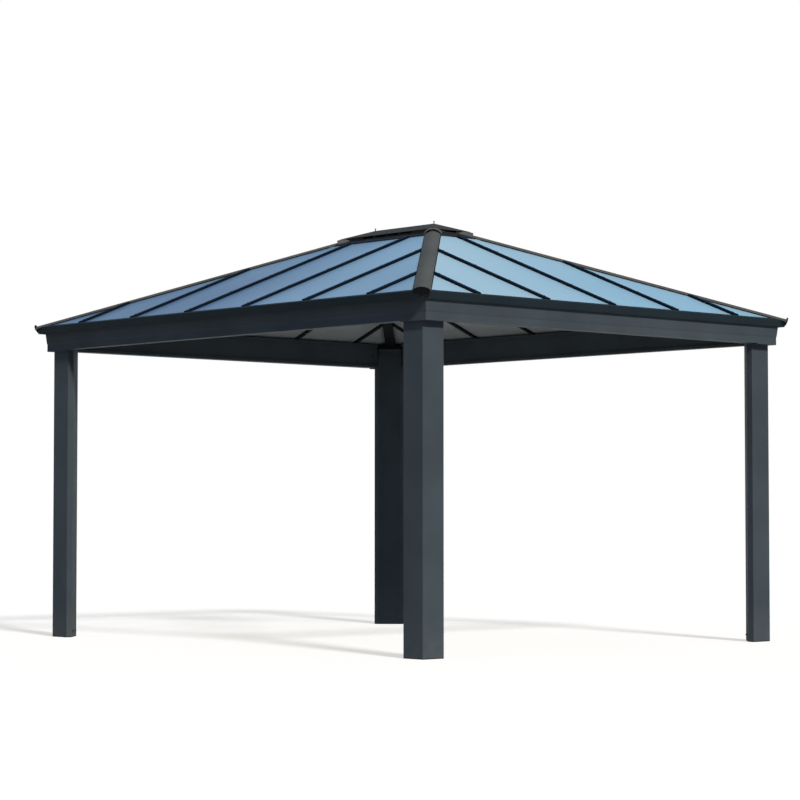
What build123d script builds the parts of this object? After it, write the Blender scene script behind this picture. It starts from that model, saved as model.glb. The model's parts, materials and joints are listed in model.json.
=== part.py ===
from build123d import *
import math
import os

# Hard-top gazebo, millimetres. X runs along the long side, Y along the short side,
# Z is up, and the origin is at the centre of the footprint on the ground.
# The corner posts stand on foot plates and carry ring beams with a cornice in front.
# A hipped roof of clear bays between glazing bars rises to a vented crown on the ridge.

# Footprint, measured over the outer faces of the posts
plan_length = 4010.0
plan_width = 3368.0
clearance = 0.3

# Corner posts: a square whose inner corner is cut off, leaving two short returns
post_width = 180.0
post_return = 48.0
post_wall = 3.0
post_edge_radius = 3.0
post_above_beam_foot = 105.0
foot_plate_thickness = 6.0
foot_plate_inset = 1.0
bracket_inset = 12.0

# Ring beams, as deep as the returns that they butt against
beam_underside = 2111.0
beam_wall = 3.0
beam_recess = 14.0
beam_bottom_lip = 20.0
beam_top_lip = 16.0

# Cornice: a plain band, a small step, then a face that leans outwards
cornice_end_offset = 54.0
cornice_long_offset = 24.0
cornice_band = 45.0
cornice_step = 3.0
cornice_step_height = 12.0
cornice_lean = 10.0
cornice_depth = 151.0
cornice_wall = 3.0
corner_drop = 6.0
corner_lap = 6.0

# Roof planes: one pitch all round, measured from reference lines outside the posts
roof_pitch = 21.2
eave_end_reach = 50.7
eave_long_reach = 56.2
eave_above_beam_foot = 181.5
panel_thickness = 8.0
panel_start = -40.0
panel_gap = 10.0

# Eave trim: a box section square to the roof, with a lip over the panel edge
trim_face = -50.5
trim_depth = 42.0
trim_rise = 8.0
trim_lip = 32.0
trim_wall = 3.0

# Glazing bars: a rafter under the panels and a cap strip over them
bar_pitch = 630.0
bar_end_margin = 260.0
rafter_width = 30.0
rafter_depth = 17.0
rafter_web = 4.0
rafter_wall = 2.5
cap_width = 34.0
cap_rise = 16.0
cap_wall = 2.5
cap_bevel = 5.0

# Hips: a broad rafter below, a two-facet cover above and a plug at the lower end
hip_rafter_width = 80.0
hip_rafter_depth = 48.0
hip_rafter_wall = 3.0
hip_cover_width = 110.0
hip_cover_rise = 21.0
hip_cover_side = 7.0
hip_cover_wall = 3.0
hip_cover_crest_radius = 60.0
hip_cover_tip = 38.0
hip_cover_reach = 175.0
hip_plug_width = 110.0
hip_plug_crest = 27.0
hip_plug_shoulder = 8.0
hip_plug_height = 46.0
hip_plug_thickness = 6.0
hip_plug_radius = 16.0
hip_plug_tab_width = 18.0
hip_plug_tab_drop = 12.0
ridge_beam_width = 60.0
ridge_beam_depth = 60.0
ridge_beam_overrun = 70.0

# Crown: flashing on the panels, a slotted vent wall, corner saddles and a hipped cap
flashing_reach = 254.0
flashing_rise = 8.0
flashing_sheet = 2.0
vent_reach = 172.0
vent_wall = 3.0
slot_length = 112.0
slot_height = 15.0
slot_land = 24.0
slot_margin_long = 200.0
slot_margin_short = 110.0
cap_reach = 183.0
cap_rim_drop = 62.0
cap_sheet = 3.0
crown_rise = 24.5
saddle_half_width = 64.0
saddle_rise = 29.5
saddle_sheet = 3.0
saddle_reach = 195.0
finial_radius = 6.0
finial_height = 18.0

# Derived sizes that several pieces share
pitch = math.radians(roof_pitch)
rise = math.tan(pitch)
post_top = beam_underside + post_above_beam_foot
cornice_top = beam_underside + cornice_depth
eave_height = beam_underside + eave_above_beam_foot
roof_length = plan_length + 2 * eave_end_reach
roof_width = plan_width + 2 * eave_long_reach
ridge_half = (roof_length - roof_width) / 2
hip_step = math.sqrt(2 + rise**2)
hip_fall = rise / hip_step
crown_height = eave_height + rise * roof_width / 2 + crown_rise
sky = 2 * crown_height

corners = {
    "front_left": (-1, -1, 0),
    "front_right": (1, -1, 90),
    "back_right": (1, 1, 180),
    "back_left": (-1, 1, 270),
}


class Side:
    """One side of the gazebo, drawn as if it faced -Y and then turned into place."""

    def __init__(self, name, angle, length, depth, eave_reach, cornice_offset):
        self.name = name
        self.turn = Rot(0, 0, angle)
        self.length = length
        self.face = -depth / 2
        self.eave_reach = eave_reach
        self.cornice_offset = cornice_offset
        self.eave = self.face - eave_reach
        self.is_long = length > depth
        self.eave_half = (roof_length if self.is_long else roof_width) / 2
        self.reach = (roof_width if self.is_long else roof_length) / 2


sides = [
    Side("front", 0, plan_length, plan_width, eave_long_reach, cornice_long_offset),
    Side("right", 90, plan_width, plan_length, eave_end_reach, cornice_end_offset),
    Side("back", 180, plan_length, plan_width, eave_long_reach, cornice_long_offset),
    Side("left", 270, plan_width, plan_length, eave_end_reach, cornice_end_offset),
]


def roof_height(inward):
    """Height of the panels' top face at a level distance in from the reference line."""
    return eave_height + inward * rise


def slope_point(side, along, normal):
    """A point of a side's section: up the slope from the reference line, and square to it."""
    y = side.eave + along * math.cos(pitch) - normal * math.sin(pitch)
    z = eave_height + along * math.sin(pitch) + normal * math.cos(pitch)
    return (y, z)


def long_section(points, length):
    """Extrudes a section drawn in (y, z) equally to both sides along X."""
    outline = make_face(Plane.YZ * Polyline(*points, close=True))
    return extrude(outline, length / 2, both=True)


def wedge(side, inset):
    """The upright prism over one roof slope, its mitred edges set back from the hips."""
    low = -2 * trim_depth - hip_cover_tip
    back = inset * math.sqrt(2)
    top = min(side.reach, side.eave_half - back)
    foot_half = side.eave_half - low - back
    top_half = side.eave_half - top - back
    points = [(-foot_half, side.eave + low), (foot_half, side.eave + low)]
    points.append((top_half, side.eave + top))
    if top_half > clearance:
        points.append((-top_half, side.eave + top))
    return extrude(make_face(Polyline(*points, close=True)), sky)


def roof_body(normal, ridge_cut=0.0):
    """Everything below the four roof planes, each moved out by a distance square to it."""
    lift = normal / math.cos(pitch) - ridge_cut
    spans = ((roof_width, roof_length, Plane.YZ), (roof_length, roof_width, Plane.XZ))
    body = None
    for span, run, plane in spans:
        foot = eave_height + lift - rise * span / 2
        peak = eave_height + lift + rise * span / 2
        outline = Polyline((-span, foot), (span, foot), (0, peak), close=True)
        gable = extrude(make_face(plane * outline), run, both=True)
        body = gable if body is None else body & gable
    return body


def bar_places(side):
    """Where the glazing bars stand along the eave of a side."""
    start = ridge_half if side.is_long else 0.0
    places = [start]
    while places[-1] + bar_pitch < side.eave_half - bar_end_margin:
        places.append(places[-1] + bar_pitch)
    return sorted(set(places + [-place for place in places]))


def slope_bar(side, outline, place, low, high):
    """Extrudes a bar's section up the slope between two level distances."""
    y, z = slope_point(side, low / math.cos(pitch), 0)
    up = (0, math.cos(pitch), math.sin(pitch))
    plane = Plane(origin=(place, y, z), x_dir=(-1, 0, 0), z_dir=up)
    return extrude(plane * outline, (high - low) / math.cos(pitch))


def polygon(points):
    """A flat face with the given corners."""
    return make_face(Polyline(*points, close=True))


def group(solids):
    """Like pieces that don't touch, kept together under one name."""
    return Compound(children=[solid for piece in solids for solid in piece.solids()])


def hip_plane(corner, inward):
    """The plane square to a hip, at a level distance in from the reference corner."""
    across, along, _ = corner
    x = across * (roof_length / 2 - inward)
    y = along * (roof_width / 2 - inward)
    return Plane(
        origin=(x, y, roof_height(inward)),
        x_dir=(along, -across, 0),
        z_dir=(-across, -along, rise),
    )


def post_outline():
    """The post's section, with its outer corner at the origin."""
    corner_points = [(0, 0), (post_width, 0), (post_width, post_return)]
    corner_points += [(post_return, post_width), (0, post_width)]
    return polygon(corner_points)


def corner_place(corner):
    """Moves a piece drawn at the origin to a corner of the footprint."""
    across, along, angle = corner
    return Pos(across * plan_length / 2, along * plan_width / 2, 0) * Rot(0, 0, angle)


def post(corner):
    """A hollow post with slightly rounded edges."""
    outside = post_outline()
    outside = fillet(outside.vertices(), post_edge_radius)
    inside = offset(post_outline(), -post_wall, kind=Kind.INTERSECTION)
    height = post_top - foot_plate_thickness
    return corner_place(corner) * Pos(0, 0, foot_plate_thickness) * extrude(outside - inside, height)


def foot_plate(corner):
    """The plate under a post."""
    outline = offset(post_outline(), -foot_plate_inset, kind=Kind.INTERSECTION)
    return corner_place(corner) * extrude(outline, foot_plate_thickness)


def corner_bracket(corner):
    """The block between a post's top and the underside of its hip rafter."""
    outline = offset(post_outline(), -bracket_inset, kind=Kind.INTERSECTION)
    block = corner_place(corner) * Pos(0, 0, post_top) * extrude(outline, 2 * post_width)
    depth = hip_rafter_depth + panel_thickness + clearance
    above = Pos(0, post_width - depth) * Rectangle(4 * post_width, 2 * post_width)
    return block - extrude(hip_plane(corner, 0) * above, 4 * post_width)


def beam(side):
    """A hollow ring beam, its inner face recessed between a top and a bottom lip."""
    stack = (panel_thickness + rafter_depth + 2 * clearance) / math.cos(pitch)

    def top(depth):
        return roof_height(side.eave_reach + depth) - stack

    web = post_return - beam_recess
    outside = [(0, beam_underside), (post_return, beam_underside)]
    outside += [(post_return, beam_underside + beam_bottom_lip)]
    outside += [(web, beam_underside + beam_bottom_lip)]
    outside += [(web, top(post_return) - beam_top_lip)]
    outside += [(post_return, top(post_return) - beam_top_lip)]
    outside += [(post_return, top(post_return)), (0, top(0))]
    left, right = beam_wall, web - beam_wall
    inside = [(left, beam_underside + beam_wall), (right, beam_underside + beam_wall)]
    inside += [(right, top(right) - 2 * beam_wall), (left, top(left) - 2 * beam_wall)]
    length = side.length - 2 * (post_width + clearance)
    solid = long_section([(side.face + y, z) for y, z in outside], length)
    hollow = long_section([(side.face + y, z) for y, z in inside], length)
    return side.turn * (solid - hollow)


def cornice_block(underside, growth):
    """The cornice's outer form over the whole footprint, all of it moved out by a growth."""
    band_top = beam_underside + cornice_band
    levels = [(underside, 0), (band_top, 0), (band_top + cornice_step_height, cornice_step)]
    levels.append((cornice_top, cornice_step + cornice_lean))
    block = None
    for (low, low_out), (high, high_out) in zip(levels, levels[1:]):
        layers = []
        for z, out in ((low, low_out + growth), (high, high_out + growth)):
            length = plan_length + 2 * (cornice_end_offset + out)
            width = plan_width + 2 * (cornice_long_offset + out)
            layers.append(Pos(0, 0, z) * Rectangle(length, width))
        stage = loft(layers, ruled=True)
        block = stage if block is None else block + stage
    return block


def cornice_ring(underside):
    """The cornice all round: a bottom flange and an outer face."""
    outer = cornice_block(underside, 0)
    inner = cornice_block(underside + cornice_wall, -cornice_wall)
    core = Box(plan_length + 2 * clearance, plan_width + 2 * clearance, 2 * sky)
    return (outer - inner - core) & roof_body(-trim_depth - clearance)


def cornice_straight(side):
    """The straight length of cornice between two corner pieces."""
    lap = post_width + corner_lap
    run = side.length - 2 * lap - 2 * clearance
    far = 2 * plan_length
    zone = side.turn * Pos(0, -far, 0) * Box(run, 2 * far, 2 * sky)
    return cornice_ring(beam_underside) & zone


def cornice_corner(corner):
    """The corner piece of the cornice, a little deeper, that wraps a post."""
    across, along, _ = corner
    lap = post_width + corner_lap
    far = plan_length
    x = across * (plan_length / 2 - lap + far / 2)
    y = along * (plan_width / 2 - lap + far / 2)
    return cornice_ring(beam_underside - corner_drop) & (Pos(x, y, 0) * Box(far, far, 2 * sky))


def eave_trim(side):
    """The box section that closes the roof's edge, mitred at the hips and cut off square there."""
    outer = trim_face
    inner = (side.eave_reach - trim_depth * math.sin(pitch)) / math.cos(pitch) - clearance
    shelf = -panel_thickness - clearance
    lip_end = outer + trim_lip
    outside = [(outer, -trim_depth), (inner, -trim_depth), (inner, shelf)]
    outside += [(outer + trim_wall, shelf), (outer + trim_wall, 0), (outer, 0)]
    hook = [(outer, 0), (outer + trim_wall, 0), (outer + trim_wall, trim_rise - trim_wall)]
    hook += [(lip_end, trim_rise - trim_wall), (lip_end, trim_rise), (outer, trim_rise)]
    left, right = outer + trim_wall, inner - trim_wall
    inside = [(left, trim_wall - trim_depth), (right, trim_wall - trim_depth)]
    inside += [(right, shelf - trim_wall), (left, shelf - trim_wall)]
    length = roof_length + 4 * trim_depth
    solid = long_section([slope_point(side, *p) for p in outside], length)
    hollow = long_section([slope_point(side, *p) for p in inside], length)
    lip = long_section([slope_point(side, *p) for p in hook], length)
    body = (solid - hollow) & wedge(side, clearance / 2)
    trim = side.turn * (body + (lip & wedge(side, hip_cover_width / 2 + clearance)))
    for corner in corners.values():
        trim -= extrude(hip_plane(corner, -hip_cover_tip) * Rectangle(length, length), -length)
    return trim


def panels(side):
    """The clear panels of one slope, parted where the glazing bars stand."""
    top = (roof_width / 2 - vent_reach + 2 * cap_width) / math.cos(pitch)
    edge = [(panel_start, -panel_thickness), (top, -panel_thickness), (top, 0), (panel_start, 0)]
    sheet = long_section([slope_point(side, *p) for p in edge], roof_length)
    sheet = sheet & wedge(side, panel_gap / 2)
    for place in bar_places(side):
        sheet -= Pos(place, side.eave, 0) * Box(panel_gap, 2 * roof_width, 2 * sky)
    return side.turn * sheet


def rafters(side):
    """The bars under the panels, each with a web that stands up between them."""
    low = -panel_thickness - clearance
    foot = low - rafter_depth
    middle = Pos(0, (low + foot) / 2)
    tube = middle * Rectangle(rafter_width, rafter_depth)
    tube -= middle * Rectangle(rafter_width - 2 * rafter_wall, rafter_depth - 2 * rafter_wall)
    crest = cap_rise / 2
    web = Pos(0, (crest + low) / 2) * Rectangle(rafter_web, crest - low)
    start = side.eave_reach + clearance
    end = roof_width / 2 - clearance
    end -= ridge_beam_width / 2 if side.is_long else ridge_beam_overrun
    web_end = roof_width / 2 - flashing_reach - 2 * clearance
    under_hip = wedge(side, hip_rafter_width / 2 + clearance)
    under_cover = wedge(side, hip_cover_width / 2 + clearance)
    bars = []
    for place in bar_places(side):
        bar = slope_bar(side, tube, place, start, end) & under_hip
        bars.append(bar + (slope_bar(side, web, place, start, web_end) & under_cover))
    return side.turn * group(bars)


def bar_caps(side):
    """The cap strips over the joints between the panels."""
    half, wall = cap_width / 2, cap_wall
    outside = polygon([(-half, clearance), (half, clearance), (half, cap_rise - cap_bevel),
                       (half - cap_bevel, cap_rise), (cap_bevel - half, cap_rise),
                       (-half, cap_rise - cap_bevel)])
    inside = Pos(0, (cap_rise - wall) / 2) * Rectangle(cap_width - 2 * cap_bevel, cap_rise - wall)
    start = (trim_face + trim_lip + 2) * math.cos(pitch)
    end = roof_width / 2 - flashing_reach - 2 * clearance
    zone = wedge(side, hip_cover_width / 2 + clearance)
    strips = [slope_bar(side, outside - inside, place, start, end) & zone for place in bar_places(side)]
    return side.turn * group(strips)


def hip_rafter(corner):
    """The broad rafter under a hip, its top backed off to both slopes."""
    across, along, _ = corner
    start = max(eave_long_reach, eave_end_reach) + hip_rafter_width / math.sqrt(8) + clearance
    plane = hip_plane(corner, start)
    depth = hip_rafter_depth + panel_thickness
    run = (roof_width / 2 - start) * hip_step
    tube = Pos(0, -depth / 2) * Rectangle(hip_rafter_width, depth)
    inner = Rectangle(hip_rafter_width - 2 * hip_rafter_wall, depth)
    inner = Pos(0, hip_rafter_wall - depth / 2) * inner
    beam_body = extrude(plane * tube, run) & roof_body(-panel_thickness - clearance)
    hollow = extrude(plane * inner, run) & roof_body(-panel_thickness - clearance - hip_rafter_wall)
    side_gap = ridge_beam_width / 2 + clearance
    zone = Pos(0, along * (side_gap + plan_width), 0) * Box(2 * plan_length, 2 * plan_width, 2 * sky)
    return (beam_body - hollow) & zone


def ridge_beam():
    """The short beam under the ridge that the rafters meet."""
    peak = roof_height(roof_width / 2)
    length = 2 * (ridge_half + ridge_beam_overrun)
    body = Pos(0, 0, peak - ridge_beam_depth) * Box(length, ridge_beam_width, 2 * ridge_beam_depth)
    body = body - Pos(0, 0, peak - 1.5 * ridge_beam_depth - sky / 2) * Box(length, ridge_beam_width, sky)
    return body & roof_body(-panel_thickness - clearance)


def hip_cover_outline():
    """The hip cover's section: two flat facets with short turned-down sides."""
    half, wall = hip_cover_width / 2, hip_cover_wall
    seat = -hip_fall * half + 2 * clearance
    points = [(-half, seat), (-half, seat + hip_cover_side), (0, hip_cover_rise)]
    points += [(half, seat + hip_cover_side), (half, seat), (half - wall, seat + hip_fall * wall)]
    points += [(half - wall, seat + hip_cover_side - wall), (0, hip_cover_rise - wall)]
    points += [(wall - half, seat + hip_cover_side - wall), (wall - half, seat + hip_fall * wall)]
    outline = polygon(points)
    crest = outline.vertices().sort_by(Axis.Y)[-2:]
    outline = fillet(crest[1], hip_cover_crest_radius)
    return fillet(outline.vertices().sort_by(lambda v: v.X**2 + (v.Y - crest[0].Y) ** 2)[0],
                  hip_cover_crest_radius - wall)


def hip_cover(corner):
    """The cover over a hip, from the corner of the eaves up under the crown."""
    run = (hip_cover_tip + roof_width / 2 - hip_cover_reach) * hip_step
    return extrude(hip_plane(corner, -hip_cover_tip) * hip_cover_outline(), run)


def hip_plug(corner):
    """The rounded plug that closes the lower end of a hip cover, with a small tab below."""
    half, shoulder, tab = hip_plug_width / 2, hip_plug_shoulder, hip_plug_tab_width / 2
    foot = hip_plug_crest - hip_plug_height
    lines = ThreePointArc((-half, shoulder), (0, hip_plug_crest), (half, shoulder))
    lines += Polyline((half, shoulder), (half, foot), (-half, foot), (-half, shoulder))
    outline = make_face(lines)
    outline = fillet(outline.vertices().sort_by(Axis.Y)[:2], hip_plug_radius)
    outline += Pos(0, foot) * Rectangle(2 * tab, 2 * hip_plug_tab_drop)
    plane = hip_plane(corner, -hip_cover_tip).offset(-clearance)
    return extrude(plane * outline, -hip_plug_thickness)


def crown_zone(reach):
    """An upright block round the ridge, a level distance out from it on every side."""
    return Box(2 * (ridge_half + reach), 2 * reach, 2 * sky)


def crown_flashing(side):
    """A sheet that lies over the panels beside the crown, with a turned-down edge."""
    sheet = roof_body(flashing_rise) - roof_body(flashing_rise - flashing_sheet)
    sheet = sheet & crown_zone(flashing_reach)
    lip = roof_body(flashing_rise) - roof_body(clearance)
    lip = lip & (crown_zone(flashing_reach) - crown_zone(flashing_reach - flashing_sheet))
    ring = (sheet + lip) - crown_zone(vent_reach + clearance)
    return ring & (side.turn * wedge(side, hip_cover_width / 2 + clearance))


def cap_body(drop):
    """The solid under the crown's cap, its planes lowered by a drop."""
    fall = cap_rim_drop / cap_reach
    body = None
    for half, run, plane in ((0, ridge_half + cap_reach, Plane.YZ), (ridge_half, cap_reach, Plane.XZ)):
        rim = crown_height - cap_rim_drop - drop
        top = crown_height - drop
        wide = half + cap_reach
        points = [(-wide, rim - cap_rim_drop), (wide, rim - cap_rim_drop), (wide, rim)]
        points += [(half, top)]
        if half:
            points += [(-half, top)]
        points += [(-wide, rim)]
        gable = extrude(make_face(plane * Polyline(*points, close=True)), run, both=True)
        body = gable if body is None else body & gable
    return body


def crown_cap():
    """The hipped sheet on top of the crown."""
    return cap_body(0) - cap_body(cap_sheet)


def crown_vent(side):
    """The slotted wall under the cap, on one side of the crown."""
    foot = roof_height(roof_width / 2 - vent_reach + vent_wall) + clearance
    head = crown_height - cap_sheet - clearance - cap_rim_drop * vent_reach / cap_reach
    height = head - foot
    half = vent_reach + (ridge_half if side.is_long else 0)
    depth = vent_reach + (0 if side.is_long else ridge_half)
    length = 2 * half if side.is_long else 2 * (half - vent_wall - clearance)
    middle = foot + height / 2
    wall = Pos(0, vent_wall / 2 - depth, middle) * Box(length, vent_wall, height)
    margin = slot_margin_long if side.is_long else slot_margin_short
    count = int((length - 2 * margin + slot_land) // (slot_length + slot_land))
    for index in range(count):
        x = (index - (count - 1) / 2) * (slot_length + slot_land)
        wall -= Pos(x, -depth, middle + flashing_rise / 2) * Box(slot_length, 4 * vent_wall, slot_height)
    return side.turn * wall


def crown_saddle(corner):
    """The arched moulding over a corner of the crown, with a mouth for the hip cover."""
    half, sheet = saddle_half_width, saddle_sheet
    foot = flashing_rise * math.hypot(1, hip_fall) + 2 * clearance - hip_fall * (half - sheet)
    plane = hip_plane(corner, roof_width / 2 - saddle_reach)
    outer = ThreePointArc((-half, foot), (0, saddle_rise), (half, foot)) + Line((half, foot), (-half, foot))
    inner = ThreePointArc((sheet - half, foot), (0, saddle_rise - sheet), (half - sheet, foot))
    inner += Line((half - sheet, foot), (sheet - half, foot))
    arch = extrude(plane * (make_face(outer) - make_face(inner)), saddle_reach * hip_step)
    cap_room = cap_body(-clearance) - cap_body(cap_sheet + clearance)
    return arch - cap_room - crown_zone(vent_reach + clearance)


def finial(place):
    """A dome-headed knob on the cap, at one end of the ridge."""
    radius, height = finial_radius, finial_height
    dome = height - radius
    points = [(0, -cap_sheet / 2), (radius / 2, -cap_sheet / 2), (radius / 2, dome - radius / 2)]
    points.append((radius, dome))
    lines = Polyline(*points) + RadiusArc((radius, dome), (0, height), -radius)
    lines += Line((0, height), (0, -cap_sheet / 2))
    return Pos(place, 0, crown_height) * revolve(Plane.XZ * make_face(lines), Axis.Z)


def gazebo():
    """Every piece of the gazebo by name."""
    cap = crown_cap() + finial(-ridge_half) + finial(ridge_half)
    pieces = {"ridge_beam": ridge_beam(), "crown_cap": cap}
    for name, corner in corners.items():
        pieces[f"{name}_post"] = post(corner)
        pieces[f"{name}_hip_rafter"] = hip_rafter(corner)
        pieces[f"{name}_hip_cover"] = hip_cover(corner)
    for side in sides:
        pieces[f"{side.name}_beam"] = beam(side)
        pieces[f"{side.name}_eave_trim"] = eave_trim(side)
        pieces[f"{side.name}_roof_panels"] = panels(side)
        pieces[f"{side.name}_rafters"] = rafters(side)
        pieces[f"{side.name}_bar_caps"] = bar_caps(side)
        pieces[f"{side.name}_cornice"] = cornice_straight(side)
    pieces["foot_plates"] = group(foot_plate(corner) for corner in corners.values())
    pieces["corner_brackets"] = group(corner_bracket(corner) for corner in corners.values())
    pieces["cornice_corners"] = group(cornice_corner(corner) for corner in corners.values())
    pieces["hip_end_plugs"] = group(hip_plug(corner) for corner in corners.values())
    pieces["crown_saddles"] = group(crown_saddle(corner) for corner in corners.values())
    pieces["crown_flashing"] = group(crown_flashing(side) for side in sides)
    pieces["crown_vents"] = group(crown_vent(side) for side in sides)
    return pieces


os.makedirs("parts", exist_ok=True)
for name, piece in gazebo().items():
    export_step(piece, f"parts/{name}.step")
    print(name, len(piece.solids()), round(piece.volume))
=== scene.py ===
# %% [markdown]
# # A hard-top gazebo, dressed in Blender
# The measured solids of the gazebo arrive as a fixed frame. This lesson adds what the
# solids leave out: the camera and the light of a product photograph, a finish for every
# piece, and the small parts such as gaskets and screws.

# %% Load the frame
import bmesh
import bpy
import json
import math
import numpy as np
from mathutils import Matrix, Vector


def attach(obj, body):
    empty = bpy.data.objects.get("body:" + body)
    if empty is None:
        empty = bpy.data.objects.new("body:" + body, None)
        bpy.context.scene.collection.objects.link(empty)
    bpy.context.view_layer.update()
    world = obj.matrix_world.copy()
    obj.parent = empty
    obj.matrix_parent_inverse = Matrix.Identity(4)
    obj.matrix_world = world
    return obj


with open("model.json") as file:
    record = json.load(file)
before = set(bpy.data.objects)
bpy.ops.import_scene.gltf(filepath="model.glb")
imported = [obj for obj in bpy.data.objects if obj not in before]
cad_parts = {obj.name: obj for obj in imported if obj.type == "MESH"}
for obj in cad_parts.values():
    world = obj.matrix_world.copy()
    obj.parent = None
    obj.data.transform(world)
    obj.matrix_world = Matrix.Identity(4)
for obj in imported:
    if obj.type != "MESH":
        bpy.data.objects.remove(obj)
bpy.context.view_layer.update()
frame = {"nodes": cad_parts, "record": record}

nodes = frame["nodes"]

# %% [markdown]
# ## The camera
# The picture was taken with a long lens from about eighteen metres away, low down and
# turned a little upwards, so that the posts stay almost upright. A lens of 112 mm on a
# square 36 mm sensor gives the same flat perspective. Aiming by angles is exact here,
# because nothing in the scene ever moves.

# %% Set the camera
camera_data = bpy.data.cameras.new("product_camera")
camera_data.sensor_fit = "HORIZONTAL"
camera_data.sensor_width = 36.0
camera_data.lens = 111.78
camera_data.clip_end = 400.0
camera = bpy.data.objects.new("product_camera", camera_data)
camera.location = (13.292, -12.193, 0.890)
camera.rotation_euler = (math.radians(92.668), 0.0, math.radians(47.57))
bpy.context.scene.collection.objects.link(camera)
bpy.context.scene.camera = camera
print("camera at", tuple(camera.location))

# %% [markdown]
# ## Writing shader maths as plain expressions
# A material is a graph of nodes, and graphs of maths nodes are hard to read. A small
# wrapper round a socket turns `1 - mask * 0.5` into the nodes that work it out. Colours
# take another road, through Mix nodes, because a maths node would turn them grey.

# %% A small language for shader nodes
class Value:
    """A socket that carries one number, with the arithmetic that the finishes use."""

    def __init__(self, tree, socket):
        self.tree = tree
        self.socket = socket

    def maths(self, operation, *others):
        """Adds one Math node: this value first, then the others."""
        node = self.tree.nodes.new("ShaderNodeMath")
        node.operation = operation
        for slot, item in zip(node.inputs, (self, *others)):
            if isinstance(item, Value):
                self.tree.links.new(item.socket, slot)
            else:
                slot.default_value = item
        return Value(self.tree, node.outputs[0])

    def _swap(self, other, operation):
        """The same Math node with a plain number in front."""
        node = self.tree.nodes.new("ShaderNodeMath")
        node.operation = operation
        node.inputs[0].default_value = other
        self.tree.links.new(self.socket, node.inputs[1])
        return Value(self.tree, node.outputs[0])

    def __add__(self, other):
        return self.maths("ADD", other)

    __radd__ = __add__

    def __sub__(self, other):
        return self.maths("SUBTRACT", other)

    def __rsub__(self, other):
        return self._swap(other, "SUBTRACT")

    def __mul__(self, other):
        return self.maths("MULTIPLY", other)

    __rmul__ = __mul__

    def power(self, other):
        """This value raised to a power."""
        return self.maths("POWER", other)

    def smooth(self, low, high):
        """Nought below low, one above high, and an S-shaped ramp between them."""
        node = self.tree.nodes.new("ShaderNodeMapRange")
        node.interpolation_type = "SMOOTHSTEP"
        node.inputs["From Min"].default_value = low
        node.inputs["From Max"].default_value = high
        self.tree.links.new(self.socket, node.inputs["Value"])
        return Value(self.tree, node.outputs["Result"])


print("operators ready")

# %% [markdown]
# ## A material in the making
# Every finish starts from the same few nodes: the place on the object, some noise, a
# blend of two colours and a relief. A class keeps the tree and the shader together and
# has one method for each, so that a finish below reads like a recipe.

# %% The start of every finish
class Finish:
    """A material in the making: one tree, one surface shader, and a way to add nodes."""

    def __init__(self, name, roughness=0.5, specular=0.5):
        self.material = bpy.data.materials.new(name)
        self.material.use_nodes = True
        self.tree = self.material.node_tree
        self.shader = self.tree.nodes["Principled BSDF"]
        self.shader.inputs["Roughness"].default_value = roughness
        self.shader.inputs["Specular IOR Level"].default_value = specular
        self.place = self.node("ShaderNodeTexCoord").outputs["Object"]

    def node(self, kind, settings=None, inputs=None):
        """Adds a node of a kind, sets it up, then fills its sockets with values or links."""
        node = self.tree.nodes.new(kind)
        for key, item in (settings or {}).items():
            setattr(node, key, item)
        for key, item in (inputs or {}).items():
            socket = node.inputs[key]
            if isinstance(item, Value):
                self.tree.links.new(item.socket, socket)
            elif isinstance(item, bpy.types.NodeSocket):
                self.tree.links.new(item, socket)
            else:
                socket.default_value = item
        return node

    def axes(self):
        """The three object coordinates, in metres."""
        split = self.node("ShaderNodeSeparateXYZ", inputs={"Vector": self.place})
        return [Value(self.tree, split.outputs[name]) for name in "XYZ"]

    def facing(self):
        """The three parts of the surface's own direction."""
        way = self.node("ShaderNodeNewGeometry").outputs["True Normal"]
        split = self.node("ShaderNodeSeparateXYZ", inputs={"Vector": way})
        return [Value(self.tree, split.outputs[name]) for name in "XYZ"]

    def noise(self, scale, detail=2.0, roughness=0.5):
        """Cloudy noise from 0 to 1, with about as many clouds to the metre as scale says."""
        inputs = {"Vector": self.place, "Scale": scale, "Detail": detail, "Roughness": roughness}
        made = self.node("ShaderNodeTexNoise", inputs=inputs)
        return Value(self.tree, made.outputs["Fac"])

    def mix(self, amount, low, high):
        """Blends two colours by a value, and returns the colour socket."""
        node = self.node("ShaderNodeMix", {"data_type": "RGBA"})
        self.tree.links.new(amount.socket, node.inputs["Factor"])
        for slot, item in ((node.inputs[6], low), (node.inputs[7], high)):
            if isinstance(item, bpy.types.NodeSocket):
                self.tree.links.new(item, slot)
            else:
                slot.default_value = (*item, 1.0)
        return node.outputs[2]

    def paint(self, colour, roughness, height, bump=0.2, distance=0.0006):
        """Joins what varies to the shader: a colour, a roughness and a relief."""
        inputs = {"Height": height, "Strength": bump, "Distance": distance}
        relief = self.node("ShaderNodeBump", inputs=inputs)
        self.tree.links.new(colour, self.shader.inputs["Base Color"])
        self.tree.links.new(roughness.socket, self.shader.inputs["Roughness"])
        self.tree.links.new(relief.outputs["Normal"], self.shader.inputs["Normal"])
        return self.material


def srgb(red, green, blue):
    """A screen colour from 0 to 255 as the linear numbers that shaders work in."""
    part = np.array([red, green, blue]) / 255.0
    low = part / 12.92
    high = ((part + 0.055) / 1.055) ** 2.4
    return tuple(float(v) for v in np.where(part <= 0.04045, low, high))


print("helpers ready:", srgb(128, 128, 128)[0])

# %% [markdown]
# ## The floor
# The object stands on white, with only a faint shadow under it. A white floor that is
# simply lit turns grey, and more light would bleach the object, so the floor gives the
# camera part of its white by itself and the rest from the lamps, which keeps the shadow.

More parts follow.
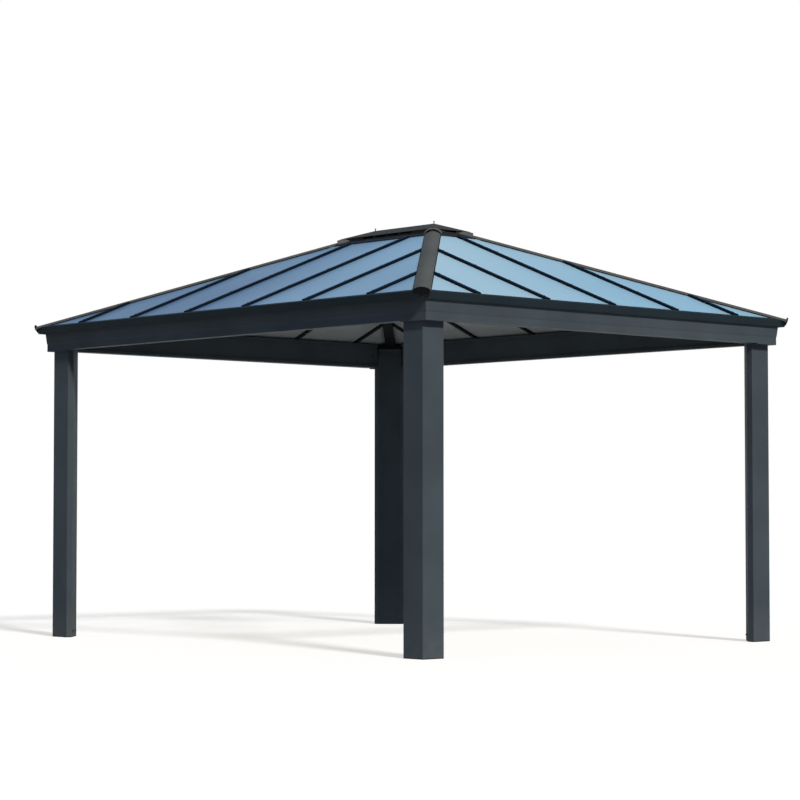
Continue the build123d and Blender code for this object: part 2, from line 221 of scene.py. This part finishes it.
# %% A floor that stays white
def seen_directly(tree):
    """One for rays from the camera, a mirror-like surface or a clear one, else nought."""
    path = tree.nodes.new("ShaderNodeLightPath")
    camera_ray = Value(tree, path.outputs["Is Camera Ray"])
    glossy_ray = Value(tree, path.outputs["Is Glossy Ray"])
    clear_ray = Value(tree, path.outputs["Is Transmission Ray"])
    return camera_ray.maths("MAXIMUM", glossy_ray).maths("MAXIMUM", clear_ray)


def white_floor(size=90.0):
    """A flat square on the ground, in the middle of which the object stands."""
    half = size / 2
    mesh = bpy.data.meshes.new("floor")
    corners = [(-half, -half, 0.0), (half, -half, 0.0), (half, half, 0.0), (-half, half, 0.0)]
    mesh.from_pydata(corners, [], [(0, 1, 2, 3)])
    floor = bpy.data.objects.new("floor", mesh)
    bpy.context.scene.collection.objects.link(floor)
    material = bpy.data.materials.new("floor_white")
    material.use_nodes = True
    tree = material.node_tree
    tree.nodes.clear()
    lit = tree.nodes.new("ShaderNodeBsdfDiffuse")
    lit.inputs["Color"].default_value = (0.32, 0.32, 0.32, 1.0)
    faint = tree.nodes.new("ShaderNodeBsdfDiffuse")
    faint.inputs["Color"].default_value = (0.49, 0.49, 0.49, 1.0)
    glow = tree.nodes.new("ShaderNodeEmission")
    glow.inputs["Color"].default_value = (1.0, 0.955, 0.875, 1.0)
    glow.inputs["Strength"].default_value = 0.63
    both = tree.nodes.new("ShaderNodeAddShader")
    tree.links.new(faint.outputs[0], both.inputs[0])
    tree.links.new(glow.outputs[0], both.inputs[1])
    choose = tree.nodes.new("ShaderNodeMixShader")
    tree.links.new(seen_directly(tree).socket, choose.inputs[0])
    tree.links.new(lit.outputs[0], choose.inputs[1])
    tree.links.new(both.outputs[0], choose.inputs[2])
    out = tree.nodes.new("ShaderNodeOutputMaterial")
    tree.links.new(choose.outputs[0], out.inputs["Surface"])
    mesh.materials.append(material)
    return floor


floor = white_floor()
print("floor:", tuple(floor.dimensions))

# %% [markdown]
# ## The sky
# The background is white where the camera, a mirror or clear glass sees it. What it
# sends onto the object is far weaker and bluish, like daylight in the shade. A Light
# Path node tells the two apart, so the white costs no contrast.

# %% White behind, blue above
def white_sky(fill=(0.125, 0.180, 0.280), zenith=(0.20, 0.36, 0.58)):
    """White where it is seen, with blue overhead in reflections, and a weak bluish fill."""
    world = bpy.data.worlds.new("sky")
    world.use_nodes = True
    tree = world.node_tree
    tree.nodes.clear()
    white = tree.nodes.new("ShaderNodeBackground")
    direction = tree.nodes.new("ShaderNodeTexCoord")
    parts = tree.nodes.new("ShaderNodeSeparateXYZ")
    tree.links.new(direction.outputs["Generated"], parts.inputs[0])
    path = tree.nodes.new("ShaderNodeLightPath")
    height = Value(tree, parts.outputs["Z"]).smooth(0.12, 0.42)
    overhead = height * (1 - Value(tree, path.outputs["Is Camera Ray"]))
    tint = tree.nodes.new("ShaderNodeMix")
    tint.data_type = "RGBA"
    tint.inputs[6].default_value = (1.0, 1.0, 1.0, 1.0)
    tint.inputs[7].default_value = (*zenith, 1.0)
    tree.links.new(overhead.socket, tint.inputs["Factor"])
    tree.links.new(tint.outputs[2], white.inputs["Color"])
    weak = tree.nodes.new("ShaderNodeBackground")
    weak.inputs["Color"].default_value = (*fill, 1.0)
    choose = tree.nodes.new("ShaderNodeMixShader")
    tree.links.new(seen_directly(tree).socket, choose.inputs[0])
    tree.links.new(weak.outputs[0], choose.inputs[1])
    tree.links.new(white.outputs[0], choose.inputs[2])
    out = tree.nodes.new("ShaderNodeOutputWorld")
    tree.links.new(choose.outputs[0], out.inputs["Surface"])
    bpy.context.scene.world = world


white_sky()
print("sky:", bpy.context.scene.world.name)

# %% [markdown]
# ## Two suns
# The shadows in the picture run away from the camera and to the left, so the sun stands
# behind the camera, to its right, at about 35 degrees. The roof sheets let much of the
# daylight through, so only the frame casts a firm shadow on the floor. Light linking does
# this without slow clear materials: one sun lights the object, and a second one, which
# lights only the floor, passes through the sheets.

# %% The suns and what they light
def low_sun(name, towards=(0.785, -0.235, 0.575), strength=2.75, softness=4.0):
    """A sun lamp that shines from the direction given, a little soft at its edges."""
    data = bpy.data.lights.new(name, "SUN")
    data.energy = strength
    data.angle = math.radians(softness)
    sun = bpy.data.objects.new(name, data)
    sun.rotation_euler = Vector(towards).to_track_quat("Z", "Y").to_euler()
    bpy.context.scene.collection.objects.link(sun)
    return sun


def choice(name, pieces, state):
    """A collection that tells a lamp to include or to exclude the given objects."""
    chosen = bpy.data.collections.new(name)
    for piece in pieces:
        chosen.objects.link(piece)
        chosen.collection_objects[-1].light_linking.link_state = state
    return chosen


panes = [piece for name, piece in nodes.items() if name.endswith("_roof_panels")]
sun = low_sun("sun")
sun.light_linking.receiver_collection = choice("all_but_floor", [floor], "EXCLUDE")
floor_sun = low_sun("floor_sun", strength=3.55, softness=9.0)
floor_sun.light_linking.receiver_collection = choice("floor_only", [floor], "INCLUDE")
floor_sun.light_linking.blocker_collection = choice("all_but_panes", panes, "EXCLUDE")
bpy.context.scene.view_settings.view_transform = "Standard"
print("suns:", sun.name, floor_sun.name, "panes let through:", len(panes))

# %% [markdown]
# ## Powder-coated metal
# The frame is sprayed with powder and baked. The coat has a fine orange-peel relief, is
# a shade uneven from place to place, and gathers dust near the ground. Each shade of the
# coat is the same recipe with other colours, so one function makes them all.

# %% The metal finishes
def powder_coat(name, colour, roughness=0.62, specular=0.06, dust=0.30):
    """Base colour times a slow cloud; fine noise for relief; dust in the lowest metre."""
    finish = Finish(name, roughness=roughness, specular=specular)
    cloud = finish.noise(2.2, detail=3.0)
    grain = finish.noise(900.0, detail=1.0)
    peel = finish.noise(420.0, detail=2.0)
    dark = tuple(c * 0.90 for c in colour)
    light = tuple(c * 1.10 for c in colour)
    coat = finish.mix(cloud.smooth(0.3, 0.7), dark, light)
    speck = tuple(min(1.0, c * 1.5) for c in colour)
    coat = finish.mix(grain.smooth(0.58, 0.75) * 0.25, coat, speck)
    _, _, height = finish.axes()
    settled = (1 - height.smooth(0.0, 0.35)) * finish.noise(14.0, detail=4.0) * dust
    coat = finish.mix(settled, coat, srgb(120, 118, 112))
    rough = finish.noise(6.0, detail=3.0) * 0.16 + (roughness - 0.08)
    return finish.paint(coat, rough + settled * 0.3, peel, bump=0.12)


finishes = {
    "frame_paint": powder_coat("anthracite_powder_coat", srgb(72, 79, 82)),
    "trim_paint": powder_coat("dark_powder_coat", srgb(38, 48, 51)),
    "dark_paint": powder_coat("near_black_powder_coat", srgb(21, 22, 24)),
    "cover_paint": powder_coat("grey_powder_coat", srgb(91, 88, 80)),
}
cap_finish = powder_coat("blue_black_powder_coat", srgb(13, 23, 34), roughness=0.50)
print("finishes:", sorted(finishes))

# %% [markdown]
# ## Moulded plastic
# The plugs, the saddles and the crown are moulded with a spark-eroded texture, duller and
# coarser than paint. The same recipe with a dark colour serves for the flashing's sheet.

# %% The moulded finishes
def moulded(name, colour, roughness=0.6):
    """A dull base with a coarse leathery relief and slight blotches."""
    finish = Finish(name, roughness=roughness, specular=0.08)
    blotch = finish.noise(9.0, detail=3.0)
    texture = finish.noise(260.0, detail=3.0, roughness=0.7)
    low = tuple(c * 0.85 for c in colour)
    high = tuple(c * 1.2 for c in colour)
    shade = finish.mix(blotch.smooth(0.3, 0.7), low, high)
    rough = texture * 0.2 + (roughness - 0.1)
    return finish.paint(shade, rough, texture, bump=0.25)


finishes["bracket_plastic"] = moulded("black_moulding", srgb(9, 9, 10))
finishes["crown_plastic"] = moulded("grey_moulding", srgb(60, 54, 47))
saddle_finish = moulded("pale_grey_moulding", srgb(96, 94, 88))
flashing_finish = moulded("dark_flashing", srgb(33, 35, 37))
print("moulded:", saddle_finish.name, flashing_finish.name)

# %% [markdown]
# ## Roof sheet
# The sheets are polycarbonate, soft grey on the lower face. The upper face is coloured blue as a
# painted sky reflection, and carries painted light that grows towards +x on the long sides,
# towards -y on the short ones, and up the slope. Fine ribs run up the slope. The long sides are
# painted darker than the short ones, which is painted shade.

# %% The sheets' two faces
def roof_sheet(name, along_x, upper_in_painted_shade, upper_in_painted_light):
    """Painted blue sky reflection and painted light above, grey below, and ribs whose period is 16
    mm across the slope.
    """
    finish = Finish(name, roughness=0.3, specular=0.16)
    x, y, z = finish.axes()
    across = x if along_x else y
    rib = (across * (2 * math.pi / 0.016)).maths("SINE") * 0.5 + 0.5
    cloud = finish.noise(0.7, detail=2.0)
    # Painted light: lighter towards +x on the long sides, towards -y on the short ones, and higher
    # up the slope; the cloud adds random tone.
    towards = x if along_x else 0 - y
    shade = towards.smooth(-0.5, 1.0) * 0.60 + z.smooth(2.40, 2.80) * 0.30 + cloud * 0.10
    painted_sky_and_light = finish.mix(shade, upper_in_painted_shade, upper_in_painted_light)
    below = finish.mix(cloud, srgb(172, 173, 167), srgb(186, 187, 181))
    _, _, up = finish.facing()
    # Painted sky reflection: blue on faces that look up, the sheet's own grey on faces that look
    # down.
    both = finish.mix(up.smooth(-0.1, 0.1), below, painted_sky_and_light)
    both = finish.mix(rib.power(6.0) * 0.10, both, srgb(70, 90, 110))
    return finish.paint(both, cloud * 0.1 + 0.24, rib, bump=0.10, distance=0.0005)


# The long sides take darker colours than the short ones: painted shade on one copy of the sheet
# and painted light on the other.
sheet_long_painted_shade = roof_sheet("roof_sheet_long_sides_painted_shade", True, srgb(97, 121, 147), srgb(160, 195, 214))
sheet_short_painted_light = roof_sheet("roof_sheet_short_sides_painted_light", False, srgb(158, 197, 211), srgb(190, 216, 220))
print("sheets:", sheet_long_painted_shade.name, sheet_short_painted_light.name)

# %% [markdown]
# ## Two finishes that change at a height
# Two pieces are made of two things each: the crown's cap carries black knobs, and the
# black brackets end below in a painted sleeve. The solids hold each as one piece, so the
# colour changes at the height where one thing meets the other.

# %% The cap with its knobs and the brackets
def crown_cap_finish():
    """Warm grey sheet, and near-black on the two knobs that stand above it."""
    finish = Finish("warm_grey_sheet_with_knobs", roughness=0.6, specular=0.06)
    _, _, height = finish.axes()
    blotch = finish.noise(9.0, detail=3.0).smooth(0.3, 0.7)
    texture = finish.noise(260.0, detail=3.0, roughness=0.7)
    sheet = finish.mix(blotch, srgb(62, 57, 50), srgb(70, 65, 57))
    black = finish.mix(blotch, srgb(8, 8, 9), srgb(12, 12, 13))
    knob = height.smooth(2.992, 2.993)
    return finish.paint(finish.mix(knob, sheet, black), texture * 0.16 + 0.52, texture)


def bracket_finish():
    """Black moulding above, and below it the painted sleeve that slides into the post."""
    finish = Finish("bracket_with_sleeve", roughness=0.6, specular=0.06)
    _, _, height = finish.axes()
    cloud = finish.noise(3.0, detail=3.0).smooth(0.3, 0.7)
    texture = finish.noise(260.0, detail=3.0, roughness=0.7)
    sleeve = finish.mix(cloud, srgb(66, 73, 76), srgb(76, 83, 86))
    black = finish.mix(cloud, srgb(7, 8, 8), srgb(11, 12, 12))
    above = height.smooth(2.264, 2.268)
    shade = finish.mix(above, sleeve, black)
    return finish.paint(shade, texture * 0.1 + 0.52, texture * above)


brackets = bracket_finish()
crown_sheet = crown_cap_finish()
print("changing at a height:", crown_sheet.name, brackets.name)

# %% [markdown]
# ## Handing the finishes to the frame
# The record says which slot each piece belongs to, and a loop gives every piece the
# slot's finish. A few pieces have a finish of their own, and the roof sheets and the bar
# caps are known by the ends of their names.

# %% Dress every node
slots = {part["node"]: part["material_slot"] for part in frame["record"]["subparts"]}
own_finishes = {
    "crown_saddles": saddle_finish,
    "crown_flashing": flashing_finish,
    "crown_cap": crown_sheet,
    "corner_brackets": brackets,
}
for name, piece in nodes.items():
    if name.endswith("_bar_caps"):
        finish = cap_finish
    elif slots[name] == "roof_sheet":
        # Front and back take the sheet copy painted darker, as painted shade; right and left take
        # the copy painted lighter.
        finish = sheet_long_painted_shade if name.startswith(("front", "back")) else sheet_short_painted_light
    else:
        finish = own_finishes.get(name) or finishes[slots[name]]
    piece.data.materials.clear()
    piece.data.materials.append(finish)
print("dressed:", len(nodes))

# %% [markdown]
# ## Small parts: a way to make closed surfaces from a grid
# The solids stop at the small parts. Screws, bolts and rubber strips are made here as
# grids of points worked out with numpy: rows run along the piece and columns run round
# it. The first and the last row shrink to one point, which closes the ends.

# %% A mesh from grids of points
def closed_piece(name, grids, finish):
    """One mesh from an array (copy, row, column, xyz). Column ends join, end rows are poles."""
    copies, rows, columns, _ = grids.shape
    copy, row, column = np.indices((copies, rows - 1, columns))
    start = copy * rows * columns
    here = start + row * columns + column
    beside = start + row * columns + (column + 1) % columns
    quads = np.stack([here, beside, beside + columns, here + columns], -1).reshape(-1, 4)
    mesh = bpy.data.meshes.new(name)
    mesh.from_pydata(grids.reshape(-1, 3).tolist(), [], quads.tolist())
    shape = bmesh.new()
    shape.from_mesh(mesh)
    bmesh.ops.remove_doubles(shape, verts=shape.verts, dist=1e-6)
    bmesh.ops.recalc_face_normals(shape, faces=shape.faces)
    shape.to_mesh(mesh)
    shape.free()
    mesh.shade_smooth()
    mesh.set_sharp_from_angle(angle=math.radians(35))
    mesh.materials.append(finish)
    piece = bpy.data.objects.new(name, mesh)
    bpy.context.scene.collection.objects.link(piece)
    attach(piece, "root")
    print(name, "faces:", len(mesh.polygons))
    return piece


def turned_heads(profile, centres, ways, sides=8):
    """A profile (radius, height) spun about each way: centre + radius * ring + height * way."""
    radius, height = np.array(profile).T
    way = ways / np.linalg.norm(ways, axis=1, keepdims=True)
    level, _, upright = np.eye(3)
    helper = np.where(np.abs(way[:, 2:]) < 0.9, upright, level)
    first = np.cross(helper, way)
    first /= np.linalg.norm(first, axis=1, keepdims=True)
    second = np.cross(way, first)
    angle = np.linspace(0, 2 * np.pi, sides, endpoint=False)
    ring = first[:, None] * np.cos(angle)[:, None] + second[:, None] * np.sin(angle)[:, None]
    spun = (radius[None, :, None, None] * ring[:, None]
            + height[None, :, None, None] * way[:, None, None])
    return centres[:, None, None] + spun


print("mesh makers ready")

# %% [markdown]
# ## The roof slopes as a frame of reference
# Every part on the roof is placed by three numbers: how far across the slope it is, how
# far up, and how far out from the sheets. One function turns these into a place in the
# world, and the four sides differ only by an angle and a depth.

# %% Places on a slope
pitch = math.radians(21.2)
eave_height = 2.2925
roof_half = {"long": 2.0557, "short": 1.7402}
ridge_half = roof_half["long"] - roof_half["short"]
bar_spacing = 0.63
least_bar_to_corner = 0.26
crown_to_ridge = 0.2552
cap_to_hip = 0.0782
corner_signs = ((-1, -1), (1, -1), (1, 1), (-1, 1))
sides = {
    "front": (0, roof_half["short"], roof_half["long"]),
    "right": (90, roof_half["long"], roof_half["short"]),
    "back": (180, roof_half["short"], roof_half["long"]),
    "left": (270, roof_half["long"], roof_half["short"]),
}


def turn_points(points, degrees):
    """Turns points about the upright axis."""
    angle = math.radians(degrees)
    x, y, z = np.moveaxis(points, -1, 0)
    return np.stack([x * math.cos(angle) - y * math.sin(angle),
                     x * math.sin(angle) + y * math.cos(angle), z], -1)


def on_slope(side, across, up, out):
    """A slope's own numbers (across, up, out) as world points."""
    degrees, depth, _ = sides[side]
    across, up, out = np.broadcast_arrays(across, up, out)
    y = -depth + up * math.cos(pitch) - out * math.sin(pitch)
    z = eave_height + up * math.sin(pitch) + out * math.cos(pitch)
    return turn_points(np.stack([across, y, z], -1), degrees)


def slope_way(side, count):
    """The direction square to a slope, once for each of a number of screws."""
    way = np.array([[0.0, -math.sin(pitch), math.cos(pitch)]])
    return np.repeat(turn_points(way, sides[side][0]), count, axis=0)


def bars_of(side):
    """Where the glazing bars stand across a slope."""
    half = sides[side][2]
    first = ridge_half if side in ("front", "back") else 0.0
    steps = first + bar_spacing * np.arange(6)
    steps = steps[steps < half - least_bar_to_corner]
    return sorted({round(float(v), 6) for v in np.concatenate([steps, -steps])})


def bar_end(side, across):
    """How far up a line across the slope the bars' caps reach: to the crown or the hip."""
    to_crown = roof_half["short"] - crown_to_ridge
    to_hip = sides[side][2] - abs(across) - cap_to_hip
    return np.minimum(to_crown, to_hip) / math.cos(pitch)


print("bars on the front:", bars_of("front"))

# %% [markdown]
# ## Rubber gaskets beside the bar caps
# Each cap presses two rubber strips onto the sheets to keep the rain out. A strip is a
# small half-round profile carried in a straight line up the slope, so its four rows are
# a point, the profile, the profile again and a point.

# %% Gaskets
def strip(side, across, low, high, width=0.0042, rise=0.0034):
    """A half-round strip: across + width * cosine, out = rise * sine, from low to high."""
    angle = np.linspace(0, np.pi, 7)
    ring = np.stack([across + width * np.cos(angle), rise * np.sin(angle)], -1)
    middle = np.broadcast_to(ring.mean(axis=0), ring.shape)
    rows = [(middle, low), (ring, low), (ring, high), (middle, high)]
    return np.stack([on_slope(side, row[:, 0], up, row[:, 1]) for row, up in rows])


rubber = moulded("black_rubber", srgb(15, 16, 18), roughness=0.75)
lower_end = -0.0155
gasket_offset = 0.0195
for side in sides:
    edges = [place + hand * gasket_offset for place in bars_of(side) for hand in (-1, 1)]
    strips = [strip(side, edge, lower_end, bar_end(side, edge)) for edge in edges]
    closed_piece(f"{side}_bar_gaskets", np.stack(strips), rubber)

# %% [markdown]
# ## Screws
# The caps, covers and flashings are held by self-drilling screws with a rubber washer and
# a low round head with a socket in it. One profile makes them all. It is a lathe shape of
# eight sides, because there are more than two hundred, each a few millimetres across.

# %% Screw heads on the roof
screw_profile = np.array([(0, -1.0), (7.5, -1.0), (7.5, 1.2), (5.4, 1.9), (5.0, 3.6), (3.0, 4.9),
                          (1.9, 4.9), (1.6, 3.4), (0, 3.4)]) / 1000
screw_paint = powder_coat("screw_paint", srgb(46, 50, 52), roughness=0.40, specular=0.3, dust=0.0)
cap_half_width = 0.017
cap_top = 0.016
end_distance = 0.03


def screw_row(side, across, low, high, out, spacing=0.34):
    """Centres of evenly spaced screws along one line up a slope."""
    count = max(2, int((high - low) / spacing) + 1)
    return on_slope(side, across, np.linspace(low, high, count), out)


for side in sides:
    rows = []
    for place in bars_of(side):
        last = bar_end(side, abs(place) + cap_half_width) - end_distance
        rows.append(screw_row(side, place, end_distance, last, cap_top))
    centres = np.concatenate(rows)
    heads = turned_heads(screw_profile, centres, slope_way(side, len(centres)))
    closed_piece(f"{side}_cap_screws", heads, screw_paint)

# %% [markdown]
# ## Screws on the flashing
# A line of the same screws holds the crown's flashing to each slope: four on a long side
# and two on a short one, all at one height.

# %% Flashing screws
flashing_top = 0.008
past_ridge = 0.15
flashing_heads = []
for side in sides:
    half, count = (ridge_half + past_ridge, 4) if side in ("front", "back") else (past_ridge, 2)
    up = (roof_half["short"] - 0.215) / math.cos(pitch)
    centres = on_slope(side, np.linspace(-half, half, count), up, flashing_top)
    flashing_heads.append(turned_heads(screw_profile, centres, slope_way(side, count)))
closed_piece("flashing_screws", np.concatenate(flashing_heads), screw_paint)

# %% [markdown]
# ## Screws on the hip covers
# A hip cover has two flat facets. Its screws stand in pairs, one on each facet, square to
# it, and are painted like the cover. The hip's own axes come from the roof: down both
# slopes at once, and across.

# %% Hip cover screws
def hip_frame(across, along, inward):
    """A hip's point so far inward from the eave, and its sideways and outward directions."""
    rise = math.tan(pitch)
    origin = np.stack([across * (roof_half["long"] - inward),
                       along * (roof_half["short"] - inward),
                       eave_height + inward * rise], -1)
    sideways = np.array([along, -across, 0.0]) / math.sqrt(2)
    uphill = np.array([-across, -along, rise]) / math.sqrt(2 + rise**2)
    return origin, sideways, np.cross(uphill, sideways)


facet_slope = 0.508
facet_middle = 0.041
cover_peak = 0.021
screw_places = np.linspace(0.02, 1.45, 6)
hip_heads = []
for across, along in corner_signs:
    origin, sideways, outward = hip_frame(across, along, screw_places)
    for hand in (-1, 1):
        facet_level = cover_peak - facet_slope * facet_middle
        centres = origin + sideways * hand * facet_middle + outward * facet_level
        way = outward + sideways * hand * facet_slope
        ways = np.repeat(way[None], len(screw_places), axis=0)
        hip_heads.append(turned_heads(screw_profile, centres, ways))
closed_piece("hip_cover_screws", np.concatenate(hip_heads),
             finishes["cover_paint"])

# %% [markdown]
# ## Seals along the hip covers
# Under each edge of a hip cover a black rubber seal lies on the sheets. It follows the
# hip, so its half-round profile is carried along the hip's own axes from end to end.

# %% Hip cover seals
cover_half_width = 0.0560
seal_base = -0.0150
seal_core = -0.0120


def hip_strip(across, along, hand, low=-0.030, high=1.50, width=0.0040, rise=0.0070):
    """A half-oval beside a hip cover: sideways + width * cosine, outward + rise * sine."""
    angle = np.linspace(0, np.pi, 7)
    middle = hand * cover_half_width
    rows = []
    for inward, shrink in ((low, 0), (low, 1), (high, 1), (high, 0)):
        origin, sideways, outward = hip_frame(across, along, inward)
        side_part = middle + width * np.cos(angle) * shrink
        out_part = seal_core + (rise * np.sin(angle) + seal_base - seal_core) * shrink
        rows.append(origin + side_part[:, None] * sideways + out_part[:, None] * outward)
    return np.stack(rows)


seals = [hip_strip(across, along, hand) for across, along in corner_signs for hand in (-1, 1)]
closed_piece("hip_cover_seals", np.stack(seals), rubber)

# %% [markdown]
# ## Bolts in the frame
# Inside, each beam is held to its posts by two flanged bolts near either end. The head
# has six sides, so the same lathe function makes it, with six steps round in place of
# eight.

# %% Frame bolts
bolt_profile = np.array([(0, -1.0), (10.5, -1.0), (10.5, 1.4), (7.2, 2.0), (7.2, 6.4), (6.2, 7.2),
                         (0, 7.2)]) / 1000
frame_half = {"long": 2.005, "short": 1.684}
beam_face = 0.034
bolt_heads = []
for side, (degrees, _, _) in sides.items():
    depth, length = frame_half["long"], frame_half["short"]
    if side in ("front", "back"):
        depth, length = length, depth
    end = length - 0.23
    x, z = np.meshgrid([-end, end], [2.150, 2.200])
    centres = np.stack([x.ravel(), np.full(4, beam_face - depth), z.ravel()], -1)
    way = np.repeat(np.array([[0.0, 1.0, 0.0]]), 4, axis=0)
    bolt_heads.append(turned_heads(bolt_profile, turn_points(centres, degrees),
                                   turn_points(way, degrees), 6))

# %% [markdown]
# ## Bolts at the posts' feet
# The slanting face of a post looks to the middle of the plan. A pair of bolts stands on
# it, 45 mm above the ground and 100 mm apart, and points the same way.

# %% Foot bolts, and all the bolts as one piece
post_face = 0.114
foot_bolt_height = 0.045
for across, along in corner_signs:
    inward = np.array([-across, -along, 0.0]) / math.sqrt(2)
    level = np.array([along, -across, 0.0]) / math.sqrt(2)
    middle = np.array([across * (frame_half["long"] - post_face),
                       along * (frame_half["short"] - post_face), foot_bolt_height])
    centres = middle + np.array([[-0.05], [0.05]]) * level
    bolt_heads.append(turned_heads(bolt_profile, centres, np.repeat(inward[None], 2, axis=0), 6))
closed_piece("frame_bolts", np.concatenate(bolt_heads), screw_paint)
